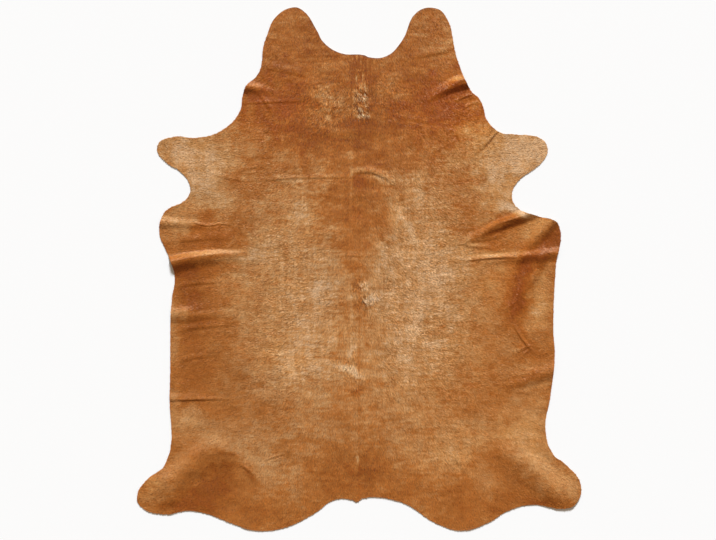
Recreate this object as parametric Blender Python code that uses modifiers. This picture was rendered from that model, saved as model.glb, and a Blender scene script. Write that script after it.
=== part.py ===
"""A hair-on cowhide rug: one whole hide, lying flat on a floor with its neck towards +Y.

Blender 4.5, metres, +Z up. The origin is on the floor under the middle of the hide.
The hide is one piece of leather with its coat on, cut round the neck flaps, the shanks and
the rump and left unhemmed. Its middle lies flat, and its thin belly edges stand up in ripples.
"""

import math
from collections import namedtuple

import bmesh
import bpy
from mathutils import Vector

LENGTH = 2.30  # neck flaps to rump, along Y
WIDTH = 1.95  # across the hind shanks, along X
THICKNESS = 0.0045  # 2 mm of leather under a short coat that lies flat

CM = 0.01  # the edge and the ripples are laid out in centimetres from the middle of the hide
EDGE_STEPS = 5  # straight steps between two points of the edge
CELL_WIDTH = 0.030  # the lattice that lets the hide bend, across the ripples' length
CELL_LENGTH = 0.0125  # and across their width
SAME_POINT = 0.0001

COAT_COLOUR = (0.413, 0.168, 0.051, 1.0)
COAT_ROUGHNESS = 0.62

# The cut edge, counter-clockwise from the tail: where it turns, as x and y in centimetres.
RIGHT_HIND = (
    (-0.8, -102.1), (1.4, -100.5), (19.1, -102.3), (34.0, -111.5), (45.0, -114.6),
    (58.1, -110.4), (64.3, -106.4), (75.5, -103.2), (90.1, -104.9), (94.5, -103.2),
    (97.2, -95.0), (90.5, -85.6), (84.8, -81.0), (81.6, -69.0),
)
RIGHT_FLANK = (
    (83.6, -56.9), (85.7, -36.4), (85.1, -27.5), (86.2, 1.8), (87.5, 19.2), (84.2, 21.8),
    (78.7, 23.1),
)
RIGHT_FORELEG = (
    (68.6, 27.6), (67.0, 32.0), (68.2, 36.8), (81.8, 49.3), (82.5, 53.4), (80.2, 56.9),
    (67.3, 59.2), (62.1, 59.8),
)
RIGHT_NECK = (
    (55.8, 65.7), (54.6, 70.5), (52.6, 74.9), (49.1, 78.2), (42.8, 92.9), (37.5, 111.8),
    (33.6, 114.5), (25.7, 113.0), (18.7, 99.9), (12.1, 93.5), (4.5, 93.0), (2.4, 93.9),
)
LEFT_NECK = (
    (-8.0, 94.8), (-15.7, 99.9), (-18.3, 104.7), (-24.7, 113.7), (-28.8, 114.9),
    (-36.9, 110.0), (-39.6, 104.0), (-41.5, 98.4), (-43.7, 86.0), (-49.2, 80.4),
    (-50.8, 75.8), (-51.8, 69.6), (-60.1, 60.7),
)
LEFT_FORELEG = (
    (-71.5, 57.6), (-80.7, 58.1), (-88.2, 53.9), (-83.3, 46.2), (-78.8, 43.6), (-73.7, 36.1),
    (-74.7, 31.7), (-78.1, 28.8),
)
LEFT_FLANK = (
    (-82.5, 27.0), (-85.6, 23.9), (-87.2, 15.3), (-85.5, 10.9), (-80.9, -0.3), (-80.5, -5.9),
    (-81.7, -12.7), (-82.7, -54.5),
)
LEFT_HIND = (
    (-84.8, -85.9), (-92.3, -91.9), (-97.0, -99.9), (-95.6, -103.8), (-85.5, -107.4),
    (-73.7, -105.8), (-53.6, -112.1), (-47.9, -114.2), (-34.7, -113.9), (-19.8, -107.3),
    (-10.6, -101.1), (-2.8, -101.2),
)
EDGE = (
    RIGHT_HIND + RIGHT_FLANK + RIGHT_FORELEG + RIGHT_NECK
    + LEFT_NECK + LEFT_FORELEG + LEFT_FLANK + LEFT_HIND
)

# A ripple is a raised wave. Its crest runs from start, at or past the edge, to end, where it has
# died out, and bow pushes the middle of the crest to the left of that line. The wave is height
# tall at the start, and its two flanks reach left and right of the crest and narrow towards the
# end. All in centimetres.
Ripple = namedtuple("Ripple", "start end bow height left right")
RIPPLES = (
    # Left cheek and left foreleg
    Ripple((-53.0, 80.6), (-36.0, 77.0), 0.5, 1.5, 4.0, 4.2),
    Ripple((-90.0, 20.5), (-58.0, 18.0), 0.5, 0.8, 3.6, 3.6),
    # Left flank: the tall fold behind the elbow, the slack below it and a sharp lower tuck
    Ripple((-84.0, 2.8), (-42.0, 5.5), 2.2, 2.6, 3.4, 7.0),
    Ripple((-83.0, -20.0), (-50.0, -19.0), 0.0, 0.9, 5.0, 5.0),
    Ripple((-84.5, -56.5), (-55.0, -56.5), 0.0, 0.5, 3.0, 2.4),
    # Left hind shank
    Ripple((-82.0, -93.5), (-42.0, -92.0), 13.0, 1.6, 10.0, 13.0),
    # Right cheek, with the tuck between neck and foreleg
    Ripple((49.0, 83.0), (26.0, 72.0), -1.0, 2.3, 3.8, 4.6),
    Ripple((58.5, 62.2), (49.0, 45.0), -0.6, 1.0, 2.4, 4.5),
    # Right elbow and the tall folds of the right flank
    Ripple((75.0, 24.8), (40.0, 8.5), -1.0, 2.0, 4.0, 3.4),
    Ripple((85.6, 23.0), (67.0, -3.0), -1.0, 2.2, 5.0, 5.0),
    Ripple((90.5, 7.6), (40.0, 3.8), 0.6, 1.1, 4.4, 3.2),
    Ripple((79.0, 4.0), (68.0, -38.0), -1.6, 1.4, 5.0, 5.0),
    Ripple((88.0, -43.5), (52.0, -53.0), 1.5, 1.0, 4.4, 5.6),
    # Right hind shank
    Ripple((86.0, -97.0), (50.0, -72.0), -2.0, 1.4, 10.0, 9.0),
)


def edge_curve():
    """The cut edge as a closed, flat curve that runs smoothly through its points."""
    curve = bpy.data.curves.new("hide_edge", "CURVE")
    curve.dimensions = "2D"
    curve.fill_mode = "FRONT"
    curve.resolution_u = EDGE_STEPS
    spline = curve.splines.new("BEZIER")
    spline.bezier_points.add(len(EDGE) - 1)
    for point, (x, y) in zip(spline.bezier_points, EDGE):
        point.co = (x * CM, y * CM, 0.0)
        point.handle_left_type = "AUTO"
        point.handle_right_type = "AUTO"
    spline.use_cyclic_u = True
    return bpy.data.objects.new("hide_edge", curve)


def flat_hide(collection):
    """The hide as one flat face with the outline of its cut edge, centred and at its real size."""
    guide = edge_curve()
    collection.objects.link(guide)
    bpy.context.view_layer.update()
    mesh = bpy.data.meshes.new_from_object(guide.evaluated_get(bpy.context.evaluated_depsgraph_get()))
    bpy.data.objects.remove(guide)
    hide = bmesh.new()
    hide.from_mesh(mesh)
    bpy.data.meshes.remove(mesh)
    bmesh.ops.remove_doubles(hide, verts=hide.verts, dist=SAME_POINT)
    bmesh.ops.dissolve_faces(hide, faces=hide.faces)
    low = Vector(min(v.co[i] for v in hide.verts) for i in range(3))
    high = Vector(max(v.co[i] for v in hide.verts) for i in range(3))
    size = high - low
    bmesh.ops.translate(hide, verts=hide.verts, vec=-(low + high) / 2)
    bmesh.ops.scale(hide, verts=hide.verts, vec=(WIDTH / size.x, LENGTH / size.y, 1.0))
    return hide


def slice_across(hide, axis, reach, step):
    """Cuts every face along planes a step apart, square to an axis, so that the hide can bend."""
    normal = Vector((0.0, 0.0, 0.0))
    normal[axis] = 1.0
    planes = math.floor(reach / step)
    for index in range(-planes, planes + 1):
        everything = hide.verts[:] + hide.edges[:] + hide.faces[:]
        bmesh.ops.bisect_plane(
            hide, geom=everything, dist=SAME_POINT, plane_co=normal * index * step, plane_no=normal
        )


def wave(offset, reach):
    """A smooth hump: 1 on the crest and 0 at the reach on either side."""
    if abs(offset) >= reach:
        return 0.0
    return math.cos(math.pi / 2 * offset / reach) ** 2


def ripple_height(ripple, x, y):
    """How far one ripple lifts the hide at a place, in metres."""
    start = Vector(ripple.start) * CM
    run = Vector(ripple.end) * CM - start
    along = (Vector((x, y)) - start).dot(run) / run.length_squared
    if along >= 1.0:
        return 0.0
    left_hand = Vector((-run.y, run.x)).normalized()
    on_hide = min(1.0, max(0.0, along))
    bow = ripple.bow * CM * math.sin(math.pi * on_hide)
    offset = (Vector((x, y)) - start).dot(left_hand) - bow
    side = (ripple.left if offset > 0 else ripple.right) * CM * (1.0 - 0.4 * on_hide)
    fade = math.cos(math.pi / 2 * on_hide) ** 2
    past_start = wave(min(0.0, along) * run.length, (ripple.left + ripple.right) * CM)
    return ripple.height * CM * fade * past_start * wave(offset, side)


def lift(x, y):
    """The height of the hide's underside over the floor."""
    return sum(ripple_height(ripple, x, y) for ripple in RIPPLES)


def coat_material():
    """Caramel hair with a dull shine."""
    material = bpy.data.materials.new("hair_on_hide")
    material.use_nodes = True
    shader = material.node_tree.nodes["Principled BSDF"]
    shader.inputs["Base Color"].default_value = COAT_COLOUR
    shader.inputs["Roughness"].default_value = COAT_ROUGHNESS
    shader.inputs["Metallic"].default_value = 0.0
    return material


def cowhide(collection):
    """The hide: a flat sheet with the outline of the edge, lifted along its ripples and thickened."""
    hide = flat_hide(collection)
    slice_across(hide, 0, WIDTH / 2, CELL_WIDTH)
    slice_across(hide, 1, LENGTH / 2, CELL_LENGTH)
    for vertex in hide.verts:
        vertex.co.z = lift(vertex.co.x, vertex.co.y)
    bmesh.ops.recalc_face_normals(hide, faces=hide.faces)
    if sum(face.normal.z for face in hide.faces) < 0:
        bmesh.ops.reverse_faces(hide, faces=hide.faces)
    mesh = bpy.data.meshes.new("cowhide")
    hide.to_mesh(mesh)
    hide.free()
    mesh.materials.append(coat_material())
    rug = bpy.data.objects.new("cowhide", mesh)
    collection.objects.link(rug)
    thicken = rug.modifiers.new("leather and coat", "SOLIDIFY")
    thicken.thickness = THICKNESS
    thicken.offset = 1.0
    return rug


def main():
    for thing in list(bpy.data.objects):
        bpy.data.objects.remove(thing)
    collection = bpy.data.collections.new("cowhide rug")
    bpy.context.scene.collection.children.link(collection)
    cowhide(collection)


if __name__ == "__main__":
    main()
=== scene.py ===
"""The looks of a hair-on cowhide rug: its leather, its combed coat, and a plain studio.

Metres, +Z up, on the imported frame. The hide lies on the floor with its neck towards +Y.
"""

import math
from collections import namedtuple

import bmesh
import bpy
import numpy as np
from bpy.props import FloatProperty, FloatVectorProperty, IntProperty, PointerProperty
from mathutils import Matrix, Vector


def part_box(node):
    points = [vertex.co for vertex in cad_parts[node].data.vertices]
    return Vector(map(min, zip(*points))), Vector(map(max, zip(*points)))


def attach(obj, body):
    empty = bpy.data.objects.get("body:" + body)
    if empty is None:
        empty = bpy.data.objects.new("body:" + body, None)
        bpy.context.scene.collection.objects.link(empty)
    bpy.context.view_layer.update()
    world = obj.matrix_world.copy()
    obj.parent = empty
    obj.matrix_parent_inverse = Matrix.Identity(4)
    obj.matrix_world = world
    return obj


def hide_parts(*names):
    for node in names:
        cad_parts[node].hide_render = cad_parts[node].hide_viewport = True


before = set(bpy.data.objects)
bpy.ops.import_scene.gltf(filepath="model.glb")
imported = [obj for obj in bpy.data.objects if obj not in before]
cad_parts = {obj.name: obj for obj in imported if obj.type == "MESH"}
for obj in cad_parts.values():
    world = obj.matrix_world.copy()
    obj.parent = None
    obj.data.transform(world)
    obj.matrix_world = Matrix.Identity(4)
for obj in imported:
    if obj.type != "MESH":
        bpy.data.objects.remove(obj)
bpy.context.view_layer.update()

bl_info = {
    "name": "Cowhide Rug",
    "version": (1, 0, 0),
    "blender": (4, 5, 0),
    "location": "3D View > Sidebar > Cowhide",
    "description": "Builds a hair-on cowhide rug with its leather, coat and studio",
    "category": "Add Mesh",
}

LOW, HIGH = (Vector(corner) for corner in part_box("cowhide"))
WIDTH = HIGH.x - LOW.x
LENGTH = HIGH.y - LOW.y

CM = 0.01  # the tables below are in centimetres from the middle of the hide
EDGE_STEPS = 5  # straight steps between two points of the edge
SAME_POINT = 0.0001


def table(kind, rows):
    """A table as a tuple of named rows."""
    return tuple(kind(*row) for row in rows)


# The cut edge, counter-clockwise from the tail: where it turns, as x and y.
RIGHT_HIND = (
    (-0.8, -102.1), (1.4, -100.5), (19.1, -102.3), (34, -111.5), (45, -114.6),
    (58.1, -110.4), (64.3, -106.4), (75.5, -103.2), (90.1, -104.9), (94.5, -103.2),
    (97.2, -95), (90.5, -85.6), (84.8, -81), (81.6, -69),
)
RIGHT_FLANK = (
    (83.6, -56.9), (85.7, -36.4), (85.1, -27.5), (86.2, 1.8), (87.5, 19.2), (84.2, 21.8),
    (78.7, 23.1),
)
RIGHT_FORELEG = (
    (68.6, 27.6), (67, 32), (68.2, 36.8), (81.8, 49.3), (82.5, 53.4), (80.2, 56.9),
    (67.3, 59.2), (62.1, 59.8),
)
RIGHT_NECK = (
    (55.8, 65.7), (54.6, 70.5), (52.6, 74.9), (49.1, 78.2), (42.8, 92.9), (37.5, 111.8),
    (33.6, 114.5), (25.7, 113), (18.7, 99.9), (12.1, 93.5), (4.5, 93), (2.4, 93.9),
)
LEFT_NECK = (
    (-8, 94.8), (-15.7, 99.9), (-18.3, 104.7), (-24.7, 113.7), (-28.8, 114.9),
    (-36.9, 110), (-39.6, 104), (-41.5, 98.4), (-43.7, 86), (-49.2, 80.4),
    (-50.8, 75.8), (-51.8, 69.6), (-60.1, 60.7),
)
LEFT_FORELEG = (
    (-71.5, 57.6), (-80.7, 58.1), (-88.2, 53.9), (-83.3, 46.2), (-78.8, 43.6), (-73.7, 36.1),
    (-74.7, 31.7), (-78.1, 28.8),
)
LEFT_FLANK = (
    (-82.5, 27), (-85.6, 23.9), (-87.2, 15.3), (-85.5, 10.9), (-80.9, -0.3), (-80.5, -5.9),
    (-81.7, -12.7), (-82.7, -54.5),
)
LEFT_HIND = (
    (-84.8, -85.9), (-92.3, -91.9), (-97, -99.9), (-95.6, -103.8), (-85.5, -107.4),
    (-73.7, -105.8), (-53.6, -112.1), (-47.9, -114.2), (-34.7, -113.9), (-19.8, -107.3),
    (-10.6, -101.1), (-2.8, -101.2),
)
EDGE = (
    RIGHT_HIND + RIGHT_FLANK + RIGHT_FORELEG + RIGHT_NECK
    + LEFT_NECK + LEFT_FORELEG + LEFT_FLANK + LEFT_HIND
)

# A ripple is a raised wave. Its crest runs from start, at or past the edge, to end, where it has
# died out, and bow pushes the middle of the crest to the left of that line. The wave is height
# tall at the start, and its two flanks reach left and right of the crest and narrow towards the
# end.
Ripple = namedtuple("Ripple", "start end bow height left right")
RIPPLES = table(Ripple, (
    # Left cheek and left foreleg
    ((-53, 80.6), (-36, 77), 0.5, 1.5, 4, 4.2),
    ((-90, 20.5), (-58, 18), 0.5, 0.8, 3.6, 3.6),
    # Left flank: the tall fold behind the elbow, the slack below it and a sharp lower tuck
    ((-84, 2.8), (-42, 5.5), 2.2, 2.6, 3.4, 7),
    ((-83, -20), (-50, -19), 0, 0.9, 5, 5),
    ((-84.5, -56.5), (-55, -56.5), 0, 0.5, 3, 2.4),
    # Left hind shank
    ((-82, -93.5), (-42, -92), 13, 1.6, 10, 13),
    # Right cheek, with the tuck between neck and foreleg
    ((49, 83), (26, 72), -1, 2.3, 3.8, 4.6),
    ((58.5, 62.2), (49, 45), -0.6, 1, 2.4, 4.5),
    # Right elbow and the tall folds of the right flank
    ((75, 24.8), (40, 8.5), -1, 2, 4, 3.4),
    ((85.6, 23), (67, -3), -1, 2.2, 5, 5),
    ((90.5, 7.6), (40, 3.8), 0.6, 1.1, 4.4, 3.2),
    ((79, 4), (68, -38), -1.6, 1.4, 5, 5),
    ((88, -43.5), (52, -53), 1.5, 1, 4.4, 5.6),
    # Right hind shank
    ((86, -97), (50, -72), -2, 1.4, 10, 9),
))

# A crease is a low fold in the hair side: a rounded lip on its left and a shallow trough on its
# right. It fades out at both ends. The line between the two runs as a ripple's crest does.
Crease = namedtuple("Crease", "start end bow height width")
CREASES = table(Crease, (
    # Across the withers, and the soft ridge right of them
    ((-48, 38.5), (-1, 40), 0.6, 0.20, 0.8),
    ((-30, 33), (-8, 30.5), 0.5, 0.10, 0.8),
    ((-3, 42), (14, 38), 2, 0.40, 1.3),
    ((12, 40.5), (24, 15), 2, 0.16, 2.4),
    ((-12, 5.6), (12, 5.2), 0.3, 0.16, 0.5),
    # Across the neck
    ((-44, 88), (-22, 84), 0.6, 0.16, 1.6),
    ((-52, 72.5), (-24, 73.5), 0, 0.18, 0.8),
    ((-46, 78), (-38, 66), 1, 0.22, 1),
    ((22, 92), (42, 97), -0.6, 0.22, 1.6),
    ((16, 66), (34, 63), 0.6, 0.12, 1),
    # Left shoulder and elbow
    ((-74, 20.8), (-64, 18.8), -0.6, 0.18, 0.6),
    ((-66, 18.6), (-55, 18.8), 0.9, 0.16, 0.5),
    ((-84, 11), (-54, 13), 0.8, 0.20, 1.6),
    ((-68, 43), (-48, 38), -0.8, 0.14, 1),
    ((-54, 42), (-40, 45), 0.6, 0.14, 1),
    # Left flank
    ((-80, -8), (-60, -6), 0.4, 0.16, 1),
    ((-81, -20), (-54, -16), 0.8, 0.16, 1.6),
    ((-81, -28), (-55, -25), 0.8, 0.20, 1.4),
    ((-80, -41), (-60, -38), 0.6, 0.14, 1.2),
    ((-86, -58.2), (-56, -57.4), 0.3, 0.20, 0.6),
    ((-72, -55), (-66, -70), 0.6, 0.12, 0.6),
    ((-60, -64), (-60, -76), 0.4, 0.12, 0.6),
    # Left thigh
    ((-52.5, -86), (-46, -91), 0.2, 0.30, 0.6),
    ((-42, -84.5), (-33, -81.5), 0.2, 0.22, 0.5),
    ((-66, -82.5), (-51, -84), 2.6, 0.14, 1.6),
    # Right cheek
    ((40, 80), (50, 84), 0.4, 0.40, 1),
    ((42, 73), (50, 76.5), 0.4, 0.30, 0.6),
    ((45, 69.5), (52.5, 73.5), 0.3, 0.26, 0.6),
    ((46, 66), (50, 72), 0.2, 0.22, 0.5),
    ((54, 52), (62, 61.5), 0.2, 0.65, 0.8),
    # Right elbow
    ((56, 17.4), (73, 22.4), 0.8, 0.30, 1),
    ((46, 12), (64, 15), -0.8, 0.20, 1.4),
    ((44, 11), (58, 9), -0.6, 0.16, 0.9),
    # Right flank
    ((46, 3.2), (69, 5), 0.4, 0.34, 0.9),
    ((84, 21), (80, 8), -0.8, 0.40, 1.6),
    ((70, -16), (80, -1), 0.8, 0.45, 2.2),
    ((64, -20), (70, -14), 0.5, 0.26, 1.2),
    ((67, -24), (76, -36.5), -0.6, 0.24, 0.7),
    ((69, -37), (76.5, -33.5), 0.2, 0.22, 0.6),
    ((70, -41), (76.5, -34), 0.2, 0.20, 0.6),
    ((62, -49), (84, -45.5), 0.8, 0.16, 1.6),
    ((64, -54), (80, -56), 0.4, 0.10, 1.4),
    # Right thigh
    ((38, -80), (48, -92), 0.6, 0.20, 1.6),
    # The backbone below the ribs
    ((-0.4, -82), (0.2, -52), 0.2, 0.14, 0.5),
))

# How the coat lies on the right half, mirrored on the left. Heading is the way the hair points, in
# degrees: 0 is towards the tail, 90 is out towards the flank, and 180 is towards the neck.
Comb = namedtuple("Comb", "x y heading")
COMBS = table(Comb, (
    (0, 92, 4), (20, 92, 18), (32, 106, 24), (42, 84, 40),
    (0, 64, 0), (22, 64, 22), (46, 64, 52), (60, 54, 78), (76, 52, 92),
    (0, 36, 0), (18, 38, 40), (40, 38, 62), (62, 34, 72),
    (0, 12, 0), (14, 12, 62), (36, 10, 84), (62, 12, 76), (84, 12, 70),
    (0, -14, 0), (14, -14, 74), (36, -16, 88), (62, -16, 70), (84, -14, 66),
    (0, -40, 0), (16, -40, 60), (40, -42, 74), (64, -42, 66), (82, -42, 62),
    (0, -66, 0), (20, -66, 26), (44, -68, 44), (70, -68, 58),
    (0, -96, 0), (22, -94, 14), (46, -104, 18), (62, -92, 40), (88, -96, 62),
))

# Where the coat is paler than caramel, with a tint above 0, or redder and darker, below 0. Some
# patches are painted highlights on the lit sides of folds and painted shade on their shaded sides,
# as marked below. A patch is an oval with soft edges: its middle, its half length and half width,
# and its turn in degrees.
Patch = namedtuple("Patch", "x y long wide turn tint")
PATCHES_AND_PAINTED_LIGHT = table(Patch, (
    # Neck
    (-34, 100, 9, 14, 0, -0.15), (30, 98, 10, 14, 0, 0.05), (-13, 71, 10, 6, 10, 0.70),
    (31, 74, 14, 5, 15, -0.50), (-32, 76, 14, 14, 0, -1.25), (31, 74, 16, 14, 10, -0.85),
    (-45, 74, 6, 10, 0, -0.30), (48, 72, 7, 12, 20, -0.20), (0, 88, 10, 6, 0, -0.35),
    (-2, 60, 14, 8, 0, -0.75), (-50, 63, 8, 6, 30, -0.45), (8, 54, 5, 4, 0, -0.45),
    (-24, 57, 14, 6, -10, -0.55), (-17, 91, 6, 6, 0, -0.35), (-20, 81, 5, 10, 20, 0.50),
    # Painted highlights on the upper sides of the cheeks' folds, at (-44, 80.6) and (43, 84.4), and
    # painted shade in the pockets below them, at (-46.5, 76.4) and (45, 79.8)
    (-44, 80.6, 4, 1.2, -5, 0.90), (-46.5, 76.4, 4, 2.2, -30, -0.90),
    (43, 84.4, 4, 1.4, 20, 1.20), (45, 79.8, 5, 1.8, 18, -0.90), (50, 74, 2.5, 2.5, 0, 0.60),
    (35, 98, 7, 2, 15, 0.60), (28, 89, 9, 2.6, 10, 0.35), (-41, 97, 3, 9, -10, 0.40),
    # Painted shade on the curled rims of the neck's flaps: the four patches with a tint below 0 on
    # these two lines
    (-19.5, 104, 5, 1.8, -65, -0.50), (24.5, 109, 6, 2, 65, -0.50),
    (15, 96.5, 4, 1.6, 40, -0.40), (40, 102, 6, 1.6, -70, 0.45), (-29, 113.5, 6, 1.8, 5, -0.35),
    (26, 71, 4, 4, 0, -0.35),
    # The whorl on the neck: a pale tuft with pale curls at its lower end, and painted shadow below
    # them, at (2.2, 64.9) and (-4.4, 63.8)
    (0.8, 71.5, 5.6, 2.6, 90, 1.10), (-1, 77, 3.4, 1.4, 90, 0.40),
    (2.2, 64.9, 3.8, 1.1, 0, -2.20), (1.2, 67.7, 3.6, 1.1, -6, 1.50),
    (-4.4, 63.8, 2.6, 1.3, 0, -1.60), (5.2, 78, 8, 2.2, 90, -0.90),
    (0, 79, 9, 3.5, 90, -0.35), (-3, 84, 9, 0.8, 90, -0.80),
    # Forelegs
    (-69, 47, 18, 11, 35, 1.45), (-65, 34, 9, 8, 0, 0.75), (67, 48, 20, 14, -20, 1.90),
    (60, 30, 8, 5, 0, 0.55), (-80, 54, 10, 5, 10, 1.00), (78, 55, 9, 5, -10, 0.90),
    # The first patch on this line is a painted highlight on the lit side of the right elbow's fold
    (66.8, 26.4, 5.5, 1.8, -24, 2.10), (54, 43, 7, 6, 0, 0.50), (-45, 34, 10, 8, 0, -0.50),
    (-61, 27, 5, 7, 0, 0.40), (47, 35, 8, 8, 0, -0.45),
    # Shoulders
    (-42, 51, 8, 6, 0, 0.55), (-26, 40, 10, 8, 0, 0.40), (-24, 31, 4, 8, 0, 0.40),
    (24, 42, 12, 4.5, 5, 0.50), (36, 54, 6, 9, 20, -0.20), (32, 26, 13, 11, 0, 0.40),
    (-28, 28, 8, 10, 0, 0.60), (-40, 18, 10, 9, 0, 0.45), (0, 22, 10, 14, 0, -0.65),
    (0.7, 38.3, 3.8, 1.9, 0, -1.30), (-11, 37, 8, 5, 0, -0.35), (8, 33, 3, 4, 0, -0.45),
    (42, 25, 5, 12, 0, -0.35), (1.5, 44, 4.8, 1.4, 0, 0.90), (10.7, 40.5, 6, 1.4, -15, 1.00),
    (-3.5, 38, 15, 0.8, 90, 0.80), (18.5, 23, 11, 1.8, -57, 0.90), (10.5, 3, 12, 4, 61, 0.55),
    (30, 36, 9, 7, 0, 0.35),
    # Ribs: the two pale sides of the back
    (-28, -6, 26, 20, 90, 1.05), (-20, -32, 16, 13, 90, 0.70), (26, -6, 28, 19, 90, 1.30),
    (22, -34, 15, 13, 90, 0.70), (-46, 0, 12, 8, 90, 0.25), (44, 0, 22, 7, 90, 0.40),
    (0, -50, 16, 8, 0, 0.50), (-15, -11, 6, 5, 0, 0.75), (-38, -14, 9, 5, 10, -0.45),
    (-21, -42, 5, 5, 0, 0.35), (-30, -46, 20, 8, 0, 0.85), (33, 7, 5, 7, 0, 0.50),
    (6, -31, 16, 6, 0, 0.50), (-3, 4, 6, 5, 0, -0.50), (-17, 2, 4, 14, 0, 0.45),
    (13, 39, 9, 2.5, -12, 0.45), (46, -40, 14, 6, 0, 0.50), (-49, -21, 9, 6, 20, 0.60),
    (18, -21.5, 5, 4, 0, -0.40), (17, 12, 4, 4.5, 0, 0.35), (8.3, 12, 2.2, 4.5, 0, -0.40),
    (-34, 22, 4, 9, 0, -0.35), (-24.5, 31, 2.5, 7, -10, 0.30), (-42, -4, 3, 8, 0, -0.30),
    (-24.5, -4.6, 5, 4, 0, -0.25), (30, -11, 4, 6, 0, 0.30), (46, 15, 5, 3, 0, -0.30),
    (43, -24, 4, 6, 0, 0.45),
    # Small marks down the back
    (-7.2, -42.2, 4.4, 1.4, -10, 1.70), (-1.4, -44.8, 3, 1.6, -35, 1.70),
    (-1, -53.2, 3, 1.5, 20, -1.00), (-1.8, -7.6, 3, 2.2, 0, -0.60),
    (2, -6.6, 3, 1.2, 20, 0.90), (0.8, -14.2, 3, 1.8, 30, -0.85),
    (3.8, -13.2, 2.8, 1.6, 40, 1.60), (-3.3, -35.3, 2.8, 1.2, 60, 0.80),
    (-3.4, -23, 10, 0.9, 90, 0.60), (-0.4, -83.5, 2.2, 0.8, 90, 1.60),
    (0.2, -87, 1.8, 0.8, 90, -1.00), (-5, -42, 13, 7, 0, -0.60),
    # Left flank
    (-66.5, 23.5, 2.8, 2.6, 0, -0.80), (-79, 20, 8, 5, 0, 0.70), (-62, 16, 10, 5, -5, -0.60),
    # The first patch on this line is a painted highlight on the crest of the tall fold behind the
    # left elbow, and the second is painted shade below it
    (-65, 7.6, 14, 1.5, 5, 1.30), (-78, -1, 5, 2.2, 8, -1.40), (-60, 4, 13, 1.6, 2, 0.75),
    (-57, 9, 8, 1.2, 0, -0.50), (-70, 6, 9, 14, 90, -0.50), (-58, -6, 12, 3, 3, 0.40),
    (-73, -11, 9, 6, 90, -0.75), (-71, -20, 14, 10, 90, -0.40),
    (-73, -46, 12, 9, 90, -0.45), (-70, -19.3, 12, 1.8, 2, 0.45), (-70, -24, 12, 2.2, 2, -0.35),
    (-81, -27, 3, 16, 0, 0.70), (-50, -47.5, 3.5, 2, 0, -0.70), (-77, -65, 6, 4, 0, 0.75),
    (-70, -70, 10, 6, 0, 0.45), (-79, -21, 5, 3, 0, 0.45), (-81, -57, 2.5, 5, 0, 0.45),
    (-80, 22, 5, 6, 0, 0.30),
    # Right elbow and flank
    # Painted highlights: the patches at (57, 6.6) and (84, 7.4), on ridges that catch the light
    # Painted shade: the patches at (64, 18.2) under the elbow's fold, (84.5, 11.5) in its turned
    # corner, (75, 4), (71, -5), (68, -15) and (70, -26) along the west side of the flank's long
    # fold, and (75, -47) under its lower fold
    (63, 22.6, 3.4, 1.8, 25, -0.60), (76, 17, 8, 5, 20, 0.60), (74, 23, 5, 1.4, -20, 0.90),
    (64, 18.2, 9, 1.3, 22, -1.00), (84.5, 11.5, 7, 3.2, 50, -2.20), (57, 6.6, 9, 1.1, 4, 0.85),
    (84, 7.4, 3, 1.3, 5, 0.80), (75, 4, 5, 3, 20, -1.30), (71, -5, 10, 3, 75, -1.30),
    (68, -15, 5, 4, 60, -1.00), (58, -8, 9, 10, 0, 0.40), (80, -10, 13, 4.5, 90, 0.90),
    (77, -22, 8, 4, 60, 0.60), (58, -30, 14, 9, 90, 0.25), (70, -26, 9, 2, -62, -0.60),
    (78, -48, 8, 4, 10, 0.55), (73, -34.5, 4, 2.4, 0, -0.70), (70, -35, 4, 1, 0, 0.60),
    (75, -47, 6, 2.2, 14, -1.10), (74, -42.5, 7, 1.8, 12, 0.30),
    # Loins and thighs
    (-43, -66, 12, 5, -40, -0.20), (-24, -70, 18, 11, 0, 0.40), (25, -56, 18, 10, 0, 0.50),
    (24, -78, 14, 10, 0, 0.50), (-56, -75, 12, 6, -10, 0.40), (-31, -89, 14, 7, 0, 0.50),
    # Painted shade on the left hind shank below its ripple's crest: the patches at (-68, -98) and
    # (-61, -87)
    (-83, -88, 10, 4, 45, 0.25), (-47, -80, 9, 6, -20, 0.50), (-68, -98, 13, 5.5, 25, -1.10),
    (-61, -87, 6, 6, 0, -0.60), (-90, -97, 7, 5, 0, 0.70), (-80, -104, 8, 2, -5, -0.60),
    (-56.5, -81, 4, 1.2, -10, -0.90), (-47.5, -90, 4, 1.2, -50, -0.90),
    (-50, -105, 26, 5, -6, -0.60), (-15, -90, 7, 12, 0, -0.60), (74, -68, 9, 12, 0, 0.85),
    (42, -84, 9, 9, 0, 0.80), (80, -86, 15, 7, -42, 0.75), (56, -73, 14, 7, -8, 0.85),
    # The patch at (62, -79) is painted shade on the right hind shank's ripple
    (62, -79, 7, 6, -20, -0.80), (79, -102, 9, 1.8, -3, -1.00), (68, -94, 8, 4, 0, -0.40),
    (56, -95, 5, 7, 0, 0.60), (61, -106.5, 7, 1.8, -25, -0.60), (40, -111, 5, 2, -20, -0.50),
    (93, -93, 4, 9, 30, 0.40), (76, -62, 4, 3, 0, 0.40), (44, -97, 5, 7, 0, -0.70),
    (58, -102, 12, 4, 10, -0.50), (9, -86, 9, 10, 0, -0.65), (0, -91, 10, 6, 90, -0.40),
))

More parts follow.
